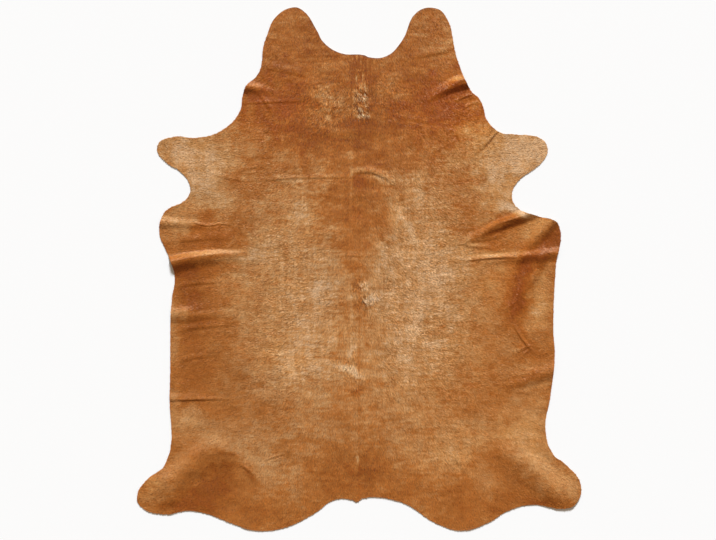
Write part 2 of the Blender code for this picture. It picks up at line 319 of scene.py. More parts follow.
# Where the coat is redder, above 0, or greyer, below 0, than its tint alone makes it.
FLUSHES = table(Patch, (
    (42, 74, 15, 14, 0, 2.4), (-38, 72, 16, 12, 0, 1.8), (0, 75, 14, 8, 0, -0.7),
    # The last flush on this line greys that painted highlight on the right elbow
    (50, 60, 8, 8, 0, 0.8), (66, 46, 13, 11, 0, -0.5), (68, 26, 6, 3, 0, -1.6),
    (-64, 16, 12, 8, 0, 1.0), (-46, 10, 7, 16, 0, -0.6), (72, 0, 14, 26, 0, 1.0),
    (-65, 31, 8, 6, 0, -0.6), (-70, 2, 12, 5, 0, 0.6), (-58, -32, 7, 7, 0, -0.7),
    (60, 0, 90, 26, 90, 0.5), (2, -6, 12, 12, 0, -0.6), (24, 66, 12, 8, 0, 0.7),
    (-52, -50, 10, 7, 0, -0.6), (-40, -76, 34, 24, 0, -0.8), (66, -40, 5, 9, 0, -0.7),
    (2, 76, 4, 8, 0, 0.5), (20, 68, 10, 8, 0, 0.4), (40, -50, 18, 14, 0, 0.3),
    (66, -90, 9, 8, 0, -0.7), (38, -82, 14, 8, 0, 0.5), (0, -78, 20, 9, 0, -0.6),
    (-90, -96, 7, 5, 0, 0.9), (71, -73, 9, 7, 0, 0.9), (-32, -40, 9, 6, 0, 0.8),
    (36, 77, 7, 6, 0, 0.6), (15, -18, 3, 8, 0, 0.6), (-16, -2, 6, 6, 0, -0.8),
    (40, -14, 6, 12, 0, -0.4), (-52, 22, 5, 5, 0, -0.6),
))

# A whorl stands the hair up in a sheaf, fully at a strength of 1, and leaves it unruly around it.
Whorl = namedtuple("Whorl", "x y radius strength")
WHORLS = table(Whorl, (
    (0.6, 76.5, 3.4, 1),
    (1.4, 71.4, 3.8, 1),
    (1.6, 67.8, 3, 1),
    (-13, 72, 11, 0.45),
    (12, 75, 7, 0.30),
    (0.4, -7, 2.6, 0.8),
    (2.8, -14, 3, 0.9),
    (-4, -43.6, 3, 0.5),
    (-1, -53.2, 2, 0.6),
))

# The coat is made in bands across the hide: each name, with how far towards the tail it reaches.
Band = namedtuple("Band", "name to_y")
BANDS = table(Band, (
    ("coat_neck", 0.50),
    ("coat_shoulders", 0.12),
    ("coat_ribs", -0.20),
    ("coat_loins", -0.53),
    ("coat_thighs", -0.85),
    ("coat_rump", -2.0),
))
MOST_TRIANGLES = 200_000  # in one piece
NOISE_CELLS = 128  # along each side of the noise, before it repeats

# Sizes from here on are in metres.
BACKBONE = 0.004  # half the width of the line along the spine
BACK_HALF = 0.48  # half the width of the back, where the coat breaks open
SHOULDERS = 0.15  # from here towards the neck the coat breaks open more
NECK = 0.55  # and from here it lies in broader rows
SLEEK = 0.52  # how far the coat opens on the flanks and legs, against 1 on the back
RIM = 0.005  # how far in the cut edge darkens the coat
MANE = 0.006  # where the mane lies across the hide
MANE_HALF = 0.034  # half its width
COMB_BLEND = 0.05  # how softly the heading of one comb turns into the next one's
PARTING = -0.016  # where the hair of a whorl parts to both sides
PARTING_BLEND = 0.010
PATCH_FADE = 0.8  # how steeply a patch fades out
OUTLINE_BENDS = 0.036  # the size of the bends in a patch's outline
OUTLINE_NICKS = 0.012  # and of the nicks in it
FLUSH = (0.08, 0.01, -0.12)  # what redder hair adds to red, green and blue

# The width of the noise that mottles and bends the coat
BLOT = 0.056
SPOT = 0.021
FLUSH_BLOT = 0.045
PALE_COLUMN = 0.0070
MANE_STRAND = 0.0045
SHEAF_STRAND = 0.0050
SWIRL = 0.070
SMALL_SWIRL = 0.020
SWELL = 0.040

# Noise drawn out as streaks: how far they reach towards +X and +Y, and how wide they are.
Streak = namedtuple("Streak", "reach_x reach_y wide")
ROWS = Streak(0.055, 0.0, 0.0075)
GRAINS = Streak(0.018, 0.0, 0.0042)
RUFFLES = Streak(0.024, 0.010, 0.0060)
STREAK_STEPS = 7

# A lock of hair has five points: two at its root, two half way along, and its tip.
LOCK_ALONG = (0.0, 0.0, 0.45, 0.45, 1.0)  # in lengths of the lock
LOCK_SIDE = (0.5, -0.5, -0.42, 0.42, 0.0)  # in widths of the lock
LOCK_TIP = (0.0, 0.0, 0.0, 0.0, 1.0)
# The darker root is painted shade, where the locks cover one another
LOCK_ROOT_SHADE = (-0.28, -0.28, -0.03, -0.03, 0.08)  # darker at the root, paler at the tip
LOCK_MAP = ((0.0, 0.0), (1.0, 0.0), (0.92, 3.0), (0.08, 3.0), (0.5, 6.5))
ROOT_INSET = 0.0004  # from the cut edge to the nearest root
ROOT_LIFT = 0.10  # how far a root stands up, against the middle of its lock

FLOOR_REACH = 15.0
FLOOR_DROP = 0.0005  # keeps the floor clear of the suede that lies on it
LAMP_DISTANCE = 4.0


def metres(name, description, default, **limits):
    """A setting for a length."""
    return FloatProperty(
        name=name, description=description, default=default, unit="LENGTH", **limits
    )


def degrees(name, description, default):
    """A setting for an angle."""
    return FloatProperty(
        name=name, description=description, default=math.radians(default), subtype="ANGLE",
        unit="ROTATION",
    )


def tone(name, description, *values):
    """A setting for a colour: red, green and blue, with alpha where a node needs it."""
    return FloatVectorProperty(
        name=name, description=description, default=values, size=len(values), subtype="COLOR"
    )


class CowhideLeather(bpy.types.PropertyGroup):
    thickness: metres("Thickness", "Leather under the hair", 0.0022, min=0.001, max=0.006)
    cell: metres("Cell", "Mesh cells that let the leather bend", 0.0105, min=0.006, max=0.05)
    swell: metres("Swell", "Unevenness of the hair side", 0.0010, min=0.0, max=0.003)
    # The skin's colour darkens the coat's colour between the roots, as painted shade under the
    # locks
    skin: tone("Skin", "Shade of the hair's roots against its own colour", 0.55, 0.48, 0.42, 1.0)
    suede: tone("Suede", "Underside", 0.52, 0.40, 0.27, 1.0)
    cut: tone("Cut edge", "Raw rim of the leather", 0.40, 0.25, 0.13, 1.0)


class CowhideCoat(bpy.types.PropertyGroup):
    spacing: metres("Spacing", "Distance between two locks of hair", 0.0036, min=0.003, max=0.02)
    length: metres("Lock length", "Length of a lock on the back", 0.014)
    width: metres("Lock width", "Width of a lock at its root", 0.0032)
    height: metres("Height", "How far the lying hair stands off the leather", 0.0022)
    overhang: metres("Overhang", "How far hair may reach past the cut edge", 0.0015)
    russet: tone("Russet", "Darkest hair", 0.295, 0.076, 0.008)
    caramel: tone("Caramel", "Most of the coat", 0.425, 0.143, 0.028)
    blond: tone("Blond", "The pale sides of the back", 0.565, 0.280, 0.102)
    cream: tone("Cream", "Palest hair", 0.730, 0.455, 0.250)
    mottle: FloatProperty(
        name="Mottle", description="Strength of the blots and ruffles in the coat's colour",
        default=1.0, min=0.0, max=2.0, subtype="FACTOR",
    )
    ragged: FloatProperty(
        name="Ragged", description="How far the outlines of the coat's patches wander",
        default=0.45, min=0.0, max=1.0, subtype="FACTOR",
    )
    seed: IntProperty(name="Seed", description="Start of every chance value", default=7)


class CowhideStudio(bpy.types.PropertyGroup):
    camera_height: metres("Camera height", "Camera over the floor, looking straight down", 7.0)
    view_width: metres("View width", "Width of floor that the picture takes in", 3.145)
    aim: FloatVectorProperty(
        name="Aim", description="Where on the floor the picture is centred", subtype="XYZ", size=2,
        default=(-0.0050, -0.0040),
    )
    key_strength: FloatProperty(
        name="Key light", description="Strength of the soft light from past the neck", default=4.55
    )
    key_tone: tone("Key tone", "Colour of the key light", 0.93, 1.00, 1.07)
    key_height: degrees("Key height", "Angle of the key light over the floor", 33)
    key_side: degrees("Key side", "How far the key light is turned to the right of the neck", 6)
    key_softness: degrees("Key softness", "Angle that the key light fills", 13)
    sky: FloatProperty(
        name="Sky", description="Strength of the even light from all round", default=0.31
    )
    sky_tone: tone("Sky tone", "Colour of the even light", 1.0, 0.80, 0.60, 1.0)
    floor: tone("Floor", "Pale floor", 0.93, 0.93, 0.93, 1.0)


def hump(offset, reach):
    """Smooth waves: 1 in the middle and 0 at the reach on either side."""
    inside = np.abs(offset) < reach
    return np.where(inside, np.cos(np.pi / 2 * offset / reach) ** 2, 0.0)


def line_places(line, x, y):
    """How far along a fold's line places lie, as a share, how far left of it, and its length."""
    start = np.array(line.start) * CM
    run = np.array(line.end) * CM - start
    length = np.hypot(*run)
    along = ((x - start[0]) * run[0] + (y - start[1]) * run[1]) / length**2
    left = ((y - start[1]) * run[0] - (x - start[0]) * run[1]) / length
    return along, left - line.bow * CM * np.sin(np.pi * np.clip(along, 0.0, 1.0)), length


def ripple_height(ripple, x, y):
    """How far one ripple lifts the hide."""
    along, offset, length = line_places(ripple, x, y)
    on_hide = np.clip(along, 0.0, 1.0)
    side = np.where(offset > 0, ripple.left, ripple.right) * CM * (1.0 - 0.4 * on_hide)
    fade = np.cos(np.pi / 2 * on_hide) ** 2
    past_start = hump(np.minimum(along, 0.0) * length, (ripple.left + ripple.right) * CM)
    return ripple.height * CM * fade * past_start * hump(offset, side)


def crease_height(crease, x, y):
    """The lip of one crease and the trough on its right, with a steep drop between them."""
    along, offset, _ = line_places(crease, x, y)
    width = crease.width * CM
    fade = np.sin(np.pi * np.clip(along, 0.0, 1.0)) ** 0.7
    lip = hump(offset - 0.5 * width, np.where(offset > 0.5 * width, 2.0 * width, width))
    trough = hump(offset + 0.7 * width, width)
    return crease.height * CM * fade * (lip - 0.3 * trough)


def lift(x, y):
    """The height of the leather's underside over the floor, which is the solid's own."""
    return sum(ripple_height(ripple, x, y) for ripple in RIPPLES)


def soft_noise(x, y, scale, seed):
    """Smooth noise from -1 to 1, with blots about one scale wide."""
    values = np.random.default_rng(seed).uniform(-1.0, 1.0, (NOISE_CELLS, NOISE_CELLS))
    column = np.floor(x / scale).astype(int)
    row = np.floor(y / scale).astype(int)
    across = x / scale - column
    up = y / scale - row
    across = across * across * (3 - 2 * across)
    up = up * up * (3 - 2 * up)
    corners = [
        values[(column + i) % NOISE_CELLS, (row + j) % NOISE_CELLS] for i in (0, 1) for j in (0, 1)
    ]
    low = corners[0] + (corners[2] - corners[0]) * across
    high = corners[1] + (corners[3] - corners[1]) * across
    return low + (high - low) * up


def hair_side(x, y, leather):
    """The height of the leather's hair side: the ripples, its thickness, creases and swells."""
    swell = soft_noise(0.5 * x, y, SWELL, 11) + 0.4 * soft_noise(0.6 * x, y, SWELL / 2, 12)
    creases = sum(crease_height(crease, x, y) for crease in CREASES)
    return lift(x, y) + leather.thickness + leather.swell * swell + creases


def place(name, data):
    """Puts a mesh, curve, light or camera in the scene."""
    thing = bpy.data.objects.new(name, data)
    bpy.context.scene.collection.objects.link(thing)
    return thing


def edge_curve():
    """The cut edge as a closed, flat curve that runs smoothly through its points."""
    curve = bpy.data.curves.new("hide_edge", "CURVE")
    curve.dimensions = "2D"
    curve.fill_mode = "FRONT"
    curve.resolution_u = EDGE_STEPS
    spline = curve.splines.new("BEZIER")
    spline.bezier_points.add(len(EDGE) - 1)
    for point, (x, y) in zip(spline.bezier_points, EDGE):
        point.co = (x * CM, y * CM, 0.0)
        point.handle_left_type = "AUTO"
        point.handle_right_type = "AUTO"
    spline.use_cyclic_u = True
    return place("hide_edge", curve)


def flat_hide():
    """The hide as one flat face with the outline of its cut edge, as wide and long as the solid."""
    guide = edge_curve()
    bpy.context.view_layer.update()
    filled = guide.evaluated_get(bpy.context.evaluated_depsgraph_get())
    mesh = bpy.data.meshes.new_from_object(filled)
    bpy.data.objects.remove(guide)
    hide = bmesh.new()
    hide.from_mesh(mesh)
    bpy.data.meshes.remove(mesh)
    bmesh.ops.remove_doubles(hide, verts=hide.verts, dist=SAME_POINT)
    bmesh.ops.dissolve_faces(hide, faces=hide.faces)
    low = Vector(min(v.co[i] for v in hide.verts) for i in range(3))
    high = Vector(max(v.co[i] for v in hide.verts) for i in range(3))
    size = high - low
    bmesh.ops.translate(hide, verts=hide.verts, vec=-(low + high) / 2)
    bmesh.ops.scale(hide, verts=hide.verts, vec=(WIDTH / size.x, LENGTH / size.y, 1.0))
    return hide


def slice_across(hide, axis, reach, step):
    """Cuts the faces along planes a step apart, square to an axis, each time only what is left."""
    normal = Vector((0.0, 0.0, 0.0))
    normal[axis] = 1.0
    planes = math.floor(reach / step)
    faces = hide.faces[:]
    for index in range(-planes, planes + 1):
        parts = set(faces)
        for face in faces:
            parts.update(face.verts)
            parts.update(face.edges)
        offset = index * step
        cut = bmesh.ops.bisect_plane(
            hide, geom=list(parts), dist=SAME_POINT, plane_co=normal * offset, plane_no=normal
        )
        faces = [
            part
            for part in cut["geom"]
            if isinstance(part, bmesh.types.BMFace)
            and max(v.co[axis] for v in part.verts) > offset + SAME_POINT
        ]


def edge_line():
    """The cut edge as an array of points in order."""
    hide = flat_hide()
    whole = max(hide.faces, key=lambda face: face.calc_area())
    corners = np.array([loop.vert.co.xy[:] for loop in whole.loops])
    hide.free()
    return corners


def depth_inside(x, y, edge):
    """How far places lie inside the cut edge, below 0 outside it."""
    nearest = np.full(x.shape, np.inf)
    inside = np.zeros(x.shape, bool)
    for a, b in zip(edge, np.roll(edge, -1, axis=0)):
        run = b - a
        share = np.clip(((x - a[0]) * run[0] + (y - a[1]) * run[1]) / run.dot(run), 0.0, 1.0)
        gap = (x - a[0] - share * run[0]) ** 2 + (y - a[1] - share * run[1]) ** 2
        np.minimum(nearest, gap, out=nearest)
        if a[1] != b[1]:
            crosses = (a[1] > y) != (b[1] > y)
            inside ^= crosses & (x < a[0] + (y - a[1]) / run[1] * run[0])
    return np.where(inside, 1.0, -1.0) * np.sqrt(nearest)


def comb_direction(x, y):
    """Unit vectors of the way the coat lies, blended from the combs on both halves."""
    run_x = np.zeros(x.shape)
    run_y = np.zeros(x.shape)
    for comb in COMBS:
        heading = math.radians(comb.heading)
        for side in (-1, 1):
            gap = (x - side * comb.x * CM) ** 2 + (y - comb.y * CM) ** 2
            weight = 1.0 / (gap + COMB_BLEND**2) ** 1.5
            run_x += weight * side * math.sin(heading)
            run_y -= weight * math.cos(heading)
    size = np.hypot(run_x, run_y)
    return run_x / size, run_y / size


def patched(patches, x, y, ragged):
    """The sum of patches at places. Their outlines wander."""
    total = np.zeros(x.shape)
    wander_x = soft_noise(x, y, OUTLINE_BENDS, 31) + 0.5 * soft_noise(x, y, OUTLINE_NICKS, 32)
    wander_y = soft_noise(x, y, OUTLINE_BENDS, 33) + 0.5 * soft_noise(x, y, OUTLINE_NICKS, 34)
    for patch in patches:
        turn = math.radians(patch.turn)
        stray = ragged * min(patch.long, patch.wide) * CM
        east = x - patch.x * CM + stray * wander_x
        north = y - patch.y * CM + stray * wander_y
        along = (east * math.cos(turn) + north * math.sin(turn)) / (patch.long * CM)
        across = (north * math.cos(turn) - east * math.sin(turn)) / (patch.wide * CM)
        total += patch.tint * np.exp(-PATCH_FADE * (along**2 + across**2))
    return total


def unruliness(x, y):
    """From 0 where the coat lies smooth to 1 in the middle of a whorl."""
    wild = np.zeros(x.shape)
    for whorl in WHORLS:
        gap = ((x - whorl.x * CM) ** 2 + (y - whorl.y * CM) ** 2) / (whorl.radius * CM) ** 2
        wild = np.maximum(wild, whorl.strength * np.exp(-gap))
    return wild


def openness(x):
    """How far the coat breaks open: 1 on the back, less on the sleek flanks and legs."""
    return SLEEK + (1.0 - SLEEK) * np.exp(-((x / BACK_HALF) ** 4))


def drawn_out(streak, x, y, seed):
    """Noise that is drawn out along one way, as streaks."""
    steps = np.linspace(-0.5, 0.5, STREAK_STEPS)
    total = sum(
        soft_noise(x + step * streak.reach_x, y + step * streak.reach_y, streak.wide, seed)
        for step in steps
    )
    return total / math.sqrt(len(steps))


def mottling(x, y, pale, sheaf, wild, seed):
    """Blots and streaks in the coat's tint.

    The streaks run across the hide, where the coat breaks in rows, and a few run down its pale
    sides and the mane. Ruffles and sheaves of hair show in the whorls.
    """
    blots = 0.34 * soft_noise(0.7 * x, y, BLOT, seed + 1)
    blots = blots + 0.24 * soft_noise(0.8 * x, y, SPOT, seed + 2)
    rows = drawn_out(ROWS, x, y, seed + 3)
    grains = drawn_out(GRAINS, x, y, seed + 4)
    columns = soft_noise(x, 0.13 * y, PALE_COLUMN, seed + 5)
    neck = np.clip((y - NECK) / 0.2, 0.0, 1.0)
    mane = neck * np.exp(-(((x - MANE) / MANE_HALF) ** 2))
    streaks = (0.18 + 0.20 * pale + 0.14 * neck) * rows + (0.26 + 0.03 * pale) * grains
    streaks = streaks + 0.30 * pale * columns
    streaks = streaks + 1.5 * mane * soft_noise(x, 0.09 * y, MANE_STRAND, seed + 10)
    streaks = streaks + 1.1 * wild * drawn_out(RUFFLES, x, y, seed + 7)
    return blots + streaks + 3.6 * wild**3 * sheaf


def coat_colour(x, y, depth, coat):
    """The colours of the coat at places, from russet to cream.

    The cut edge and the line along the backbone are a little darker, and painted shade darkens the
    gaps in the sheaf of hair that a whorl stands up. Its strands lean to the left, towards the
    neck.
    """
    tint = patched(PATCHES_AND_PAINTED_LIGHT, x, y, coat.ragged) - 0.25 * np.exp(-np.abs(depth) / RIM)
    tint = tint - 0.30 * np.exp(-((x / BACKBONE) ** 2))
    pale = np.clip(tint, 0.0, 1.0)
    wild = unruliness(x, y)
    sheaf = soft_noise(0.87 * x + 0.50 * y, 0.06 * x - 0.10 * y, SHEAF_STRAND, coat.seed + 8)
    rough = openness(x) * (1.0 + 0.3 * np.clip((y - SHOULDERS) / 0.2, 0.0, 1.0))
    tint = tint + coat.mottle * rough * mottling(x, y, pale, sheaf, wild, coat.seed)
    stops = (-1.0, 0.0, 1.0, 2.0)
    ramp = np.array((coat.russet[:], coat.caramel[:], coat.blond[:], coat.cream[:]))
    colour = np.stack([np.interp(tint, stops, ramp[:, channel]) for channel in range(3)], axis=-1)
    # Painted shade in the gaps between the sheaf's raised strands
    painted_gap_shade = 1.0 + 2.6 * wild**3 * np.minimum(sheaf + 0.2, 0.0)
    colour = colour * np.maximum(painted_gap_shade, 0.35)[:, None]
    flush = 0.4 + 0.4 * soft_noise(x, y, FLUSH_BLOT, coat.seed + 6)
    flush = flush + patched(FLUSHES, x, y, coat.ragged)
    return colour * (1.0 + flush[:, None] * np.array(FLUSH))


def paint(mesh, colours):
    """Stores a colour for each vertex as the attribute that the materials read."""
    layer = mesh.color_attributes.new(name="coat", type="FLOAT_COLOR", domain="POINT")
    opaque = np.ones((len(mesh.vertices), 4), np.float32)
    opaque[:, :3] = colours
    layer.data.foreach_set("color", opaque.ravel())


def finished(name, mesh, materials):
    """Puts a mesh in the scene as a piece that rides on the hide's body."""
    for material in materials:
        mesh.materials.append(material)
    piece = place(name, mesh)
    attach(piece, "root")
    return piece


def set_inputs(node, values):
    """Gives a node the values of its inputs, by name or number."""
    for key, value in values.items():
        node.inputs[key].default_value = value


def add_node(tree, kind, values=None, **settings):
    """Adds a node with its settings and the values of its inputs."""
    node = tree.nodes.new(f"ShaderNode{kind}")
    for name, setting in settings.items():
        setattr(node, name, setting)
    set_inputs(node, values or {})
    return node


def wire(tree, *links):
    """Links each first node's output with the second node's input."""
    for source, output, target, entry in links:
        tree.links.new(source.outputs[output], target.inputs[entry])


def start_group(name, values):
    """A node group that takes a colour and values, and puts out a colour and a height."""
    tree = bpy.data.node_groups.new(name, "ShaderNodeTree")
    interface = tree.interface
    colour = interface.new_socket(name="Colour", in_out="INPUT", socket_type="NodeSocketColor")
    colour.default_value = (0.5, 0.5, 0.5, 1.0)
    for title, value in values.items():
        socket = interface.new_socket(name=title, in_out="INPUT", socket_type="NodeSocketFloat")
        socket.default_value = value
    interface.new_socket(name="Colour", in_out="OUTPUT", socket_type="NodeSocketColor")
    interface.new_socket(name="Height", in_out="OUTPUT", socket_type="NodeSocketFloat")
    return tree, tree.nodes.new("NodeGroupInput"), tree.nodes.new("NodeGroupOutput")


def shade_group(tree, inputs, outputs, value, low, high, contrast):
    """Darkens and lightens a group's colour by a contrast, as a value goes from low to high."""
    shade = add_node(tree, "MapRange", {"From Min": low, "From Max": high})
    for operation, end in (("SUBTRACT", "To Min"), ("ADD", "To Max")):
        limit = add_node(tree, "Math", {0: 1.0}, operation=operation)
        wire(tree, (inputs, contrast, limit, 1), (limit, "Value", shade, end))
    tinted = add_node(tree, "VectorMath", operation="SCALE")
    wire(
        tree,
        (*value, shade, "Value"),
        (inputs, "Colour", tinted, 0),
        (shade, "Result", tinted, "Scale"),
        (tinted, "Vector", outputs, "Colour"),
    )


def fine_hairs_group():
    """Fine hairs within the locks: thin streaks that vary a colour and stand up as a height."""
    tree = bpy.data.node_groups.get("Fine Hairs")
    if tree:
        return tree
    tree, inputs, outputs = start_group("Fine Hairs", {"Contrast": 0.3, "Hairs": 6.0})
    strand = add_node(tree, "UVMap", uv_map="strand")
    stretch = add_node(tree, "Mapping", {"Scale": (1.0, 0.12, 1.0)})
    noise = add_node(tree, "TexNoise", {"Detail": 2.0})
    wire(
        tree,
        (strand, "UV", stretch, "Vector"),
        (stretch, "Vector", noise, "Vector"),
        (inputs, "Hairs", noise, "Scale"),
        (noise, "Fac", outputs, "Height"),
    )
    shade_group(tree, inputs, outputs, (noise, "Fac"), 0.3, 0.7, "Contrast")
    return tree


def leather_grain_group():
    """The mottled, fibrous look of tanned leather: blotches in its colour, and a fine nap."""
    tree = bpy.data.node_groups.get("Leather Grain")
    if tree:
        return tree
    values = {"Blotches": 0.2, "Blotch Scale": 9.0, "Nap Scale": 420.0}
    tree, inputs, outputs = start_group("Leather Grain", values)
    places = add_node(tree, "TexCoord")
    blotch = add_node(tree, "TexNoise", {"Detail": 6.0, "Roughness": 0.62})
    nap = add_node(tree, "TexNoise", {"Detail": 3.0, "Distortion": 0.6})
    both = add_node(tree, "Math", {1: 0.45}, operation="MULTIPLY_ADD")
    wire(
        tree,
        (places, "Object", blotch, "Vector"),
        (places, "Object", nap, "Vector"),
        (inputs, "Blotch Scale", blotch, "Scale"),
        (inputs, "Nap Scale", nap, "Scale"),
        (nap, "Fac", both, 0),
        (blotch, "Fac", both, 2),
        (nap, "Fac", outputs, "Height"),
    )
    shade_group(tree, inputs, outputs, (both, "Value"), 0.45, 1.0, "Blotches")
    return tree


def plain_material(name, values):
    """A material, and its shader with the values of its inputs."""
    material = bpy.data.materials.new(name)
    material.use_nodes = True
    shader = material.node_tree.nodes["Principled BSDF"]
    set_inputs(shader, values)
    return material, shader


def add_group(tree, shader, group, values, strength, distance):
    """Colours a shader and raises its surface with a node group, whose node it returns."""
    node = add_node(tree, "Group", values, node_tree=group)
    bump = add_node(tree, "Bump", {"Strength": strength, "Distance": distance})
    wire(
        tree,
        (node, "Colour", shader, "Base Color"),
        (node, "Height", bump, "Height"),
        (bump, "Normal", shader, "Normal"),
    )
    return node


def hair_material():
    """Locks of fine, smooth hair with a dull shine."""
    looks = {
        "Roughness": 0.46, "Specular IOR Level": 0.5, "Specular Tint": (1.0, 0.70, 0.45, 1.0)
    }
    material, shader = plain_material("combed hair", looks)
    tree = material.node_tree
    painted = add_node(tree, "VertexColor", layer_name="coat")
    values = {"Contrast": 0.22, "Hairs": 7.0}
    hairs = add_group(tree, shader, fine_hairs_group(), values, 0.2, 0.0006)
    wire(tree, (painted, "Color", hairs, "Colour"))
    return material


def skin_material(leather):
    """The hair side of the leather, darkened between the roots as painted shade under the locks."""
    material, shader = plain_material("skin under hair", {"Roughness": 0.8})
    tree = material.node_tree
    painted = add_node(tree, "VertexColor", layer_name="coat")
    shades = {"Factor": 1.0, "B": leather.skin}
    # Painted shade between the roots
    rooted = add_node(tree, "Mix", shades, data_type="RGBA", blend_type="MULTIPLY")
    values = {"Blotches": 0.15, "Blotch Scale": 14.0, "Nap Scale": 500.0}
    grain = add_group(tree, shader, leather_grain_group(), values, 0.4, 0.0005)
    wire(tree, (painted, "Color", rooted, "A"), (rooted, "Result", grain, "Colour"))
    return material


def suede_material(leather):
    """The flesh side: soft, fibrous and unevenly tanned."""
    looks = {"Roughness": 0.95, "Specular IOR Level": 0.2, "Sheen Weight": 0.3}
    material, shader = plain_material("suede underside", looks)
    values = {"Colour": leather.suede, "Blotches": 0.28, "Blotch Scale": 6.0, "Nap Scale": 260.0}
    add_group(material.node_tree, shader, leather_grain_group(), values, 0.55, 0.0008)
    return material


def cut_material(leather):
    """The raw rim, where the leather was cut."""
    material, shader = plain_material("cut edge", {"Roughness": 0.85})
    values = {"Colour": leather.cut, "Blotches": 0.25, "Blotch Scale": 60.0, "Nap Scale": 900.0}
    add_group(material.node_tree, shader, leather_grain_group(), values, 0.5, 0.0004)
    return material


def leather_sheet(leather, coat):
    """The leather: the flat hide in cells, lifted along its ripples and given its thickness."""
    hide = flat_hide()
    slice_across(hide, 0, WIDTH / 2, leather.cell)
    slice_across(hide, 1, LENGTH / 2, leather.cell)
    places = np.array([v.co.xy[:] for v in hide.verts])
    for vertex, height in zip(hide.verts, lift(*places.T)):
        vertex.co.z = height
    underside = hide.faces[:]
    raised = bmesh.ops.extrude_face_region(hide, geom=underside, use_keep_orig=True)["geom"]
    top = [part for part in raised if isinstance(part, bmesh.types.BMVert)]
    places = np.array([v.co.xy[:] for v in top])
    for vertex, height in zip(top, hair_side(*places.T, leather)):
        vertex.co.z = max(height, vertex.co.z + leather.thickness / 3)
    skin_faces = {part for part in raised if isinstance(part, bmesh.types.BMFace)}
    suede_faces = set(underside)
    for face in hide.faces:
        face.material_index = 0 if face in skin_faces else 1 if face in suede_faces else 2
        face.smooth = True
    bmesh.ops.recalc_face_normals(hide, faces=hide.faces)
    mesh = bpy.data.meshes.new("leather")
    hide.to_mesh(mesh)
    hide.free()
    mesh.set_sharp_from_angle(angle=math.radians(50))
    places = np.array([v.co.xy[:] for v in mesh.vertices])
    paint(mesh, coat_colour(*places.T, np.full(len(places), np.inf), coat))
    return mesh


def lock_roots(coat, edge):
    """Jittered rows of roots inside the cut edge, and how far inside it they lie."""
    chance = np.random.default_rng(coat.seed)
    columns = np.arange(LOW.x, HIGH.x, coat.spacing)
    rows = np.arange(LOW.y, HIGH.y, coat.spacing)
    x, y = (places.ravel() for places in np.meshgrid(columns, rows))
    x = x + chance.uniform(-0.5, 0.5, x.shape) * coat.spacing
    y = y + chance.uniform(-0.5, 0.5, y.shape) * coat.spacing
    depth = depth_inside(x, y, edge)
    kept = depth > ROOT_INSET
    return x[kept], y[kept], depth[kept]


def lock_headings(x, y, wild, chance):
    """The way each lock points: as combed, swirling a little, and fanned out in a whorl."""
    run_x, run_y = comb_direction(x, y)
    turn = 0.20 * soft_noise(x, y, SWIRL, 21) + 0.16 * soft_noise(x, y, SMALL_SWIRL, 22)
    astray = 0.14 + 0.6 * wild * (1.3 - wild)
    turn = turn + astray * chance.normal(0.0, 1.0, x.shape)
    turn = turn + 0.50 * wild * np.tanh((x - PARTING) / PARTING_BLEND)
    return (
        run_x * np.cos(turn) - run_y * np.sin(turn),
        run_x * np.sin(turn) + run_y * np.cos(turn),
    )


def lock_vertices(x, y, depth, coat, leather, edge):
    """Five points for each lock: two at its root, two half way, and its tip."""
    chance = np.random.default_rng(coat.seed + 5)
    wild = unruliness(x, y)
    run_x, run_y = lock_headings(x, y, wild, chance)
    long = coat.length * (0.85 + 0.8 * wild) * chance.uniform(0.8, 1.25, x.shape)
    near = np.flatnonzero(depth < long)
    for _ in range(2):  # cuts locks back that reach too far past the edge
        tip_x = x[near] + run_x[near] * long[near]
        tip_y = y[near] + run_y[near] * long[near]
        allowed = coat.overhang * chance.uniform(0.2, 1.2, near.shape)
        past = -depth_inside(tip_x, tip_y, edge) - allowed
        long[near] = np.maximum(long[near] - 1.15 * np.maximum(past, 0.0), 0.25 * coat.length)
    wide = coat.width * chance.uniform(0.7, 1.25, x.shape)
    roll = chance.normal(0.0, 0.26, x.shape) * openness(x)
    stand = chance.uniform(0.55, 1.0, x.shape) + 2.2 * wild * chance.uniform(0.0, 1.0, x.shape)
    stand = coat.height * stand
    droop = chance.uniform(0.35, 0.95, x.shape)
    bend = chance.normal(0.0, 0.10, x.shape)
    side = np.array(LOCK_SIDE)
    step = np.array(LOCK_ALONG) * long[:, None]
    off = side * wide[:, None] + np.array(LOCK_TIP) * (bend * long)[:, None]
    px = x[:, None] + run_x[:, None] * step - run_y[:, None] * off
    py = y[:, None] + run_y[:, None] * step + run_x[:, None] * off
    low = ROOT_LIFT * stand
    over = np.stack([low, low, stand, stand, stand * droop], axis=1)
    over = over + side * wide[:, None] * np.sin(roll)[:, None]
    skin = hair_side(px.ravel(), py.ravel(), leather).reshape(px.shape)
    return np.stack([px, py, np.maximum(skin + over, 0.0)], axis=-1)


def lock_colours(x, y, depth, coat):
    """Each lock's colour, with painted shade at its root, and paler at its tip."""
    chance = np.random.default_rng(coat.seed + 9)
    colour = coat_colour(x, y, depth, coat)
    wild = unruliness(x, y)
    spread = 0.12 * openness(x) + 0.6 * wild * (1.2 - wild)
    shade = 1.0 + spread * chance.normal(0.0, 1.0, x.shape)
    colour = colour * np.clip(shade, 0.45, 1.7)[:, None]
    warmth = chance.normal(0.0, 0.05, x.shape)[:, None]
    colour = colour * (1.0 + warmth * np.array((0.6, -0.2, -1.2)))
    # Painted shade at the root of each lock
    fade = 1.0 + openness(x)[:, None] * np.array(LOCK_ROOT_SHADE)
    return np.clip(colour[:, None, :] * fade[:, :, None], 0.01, 0.95)


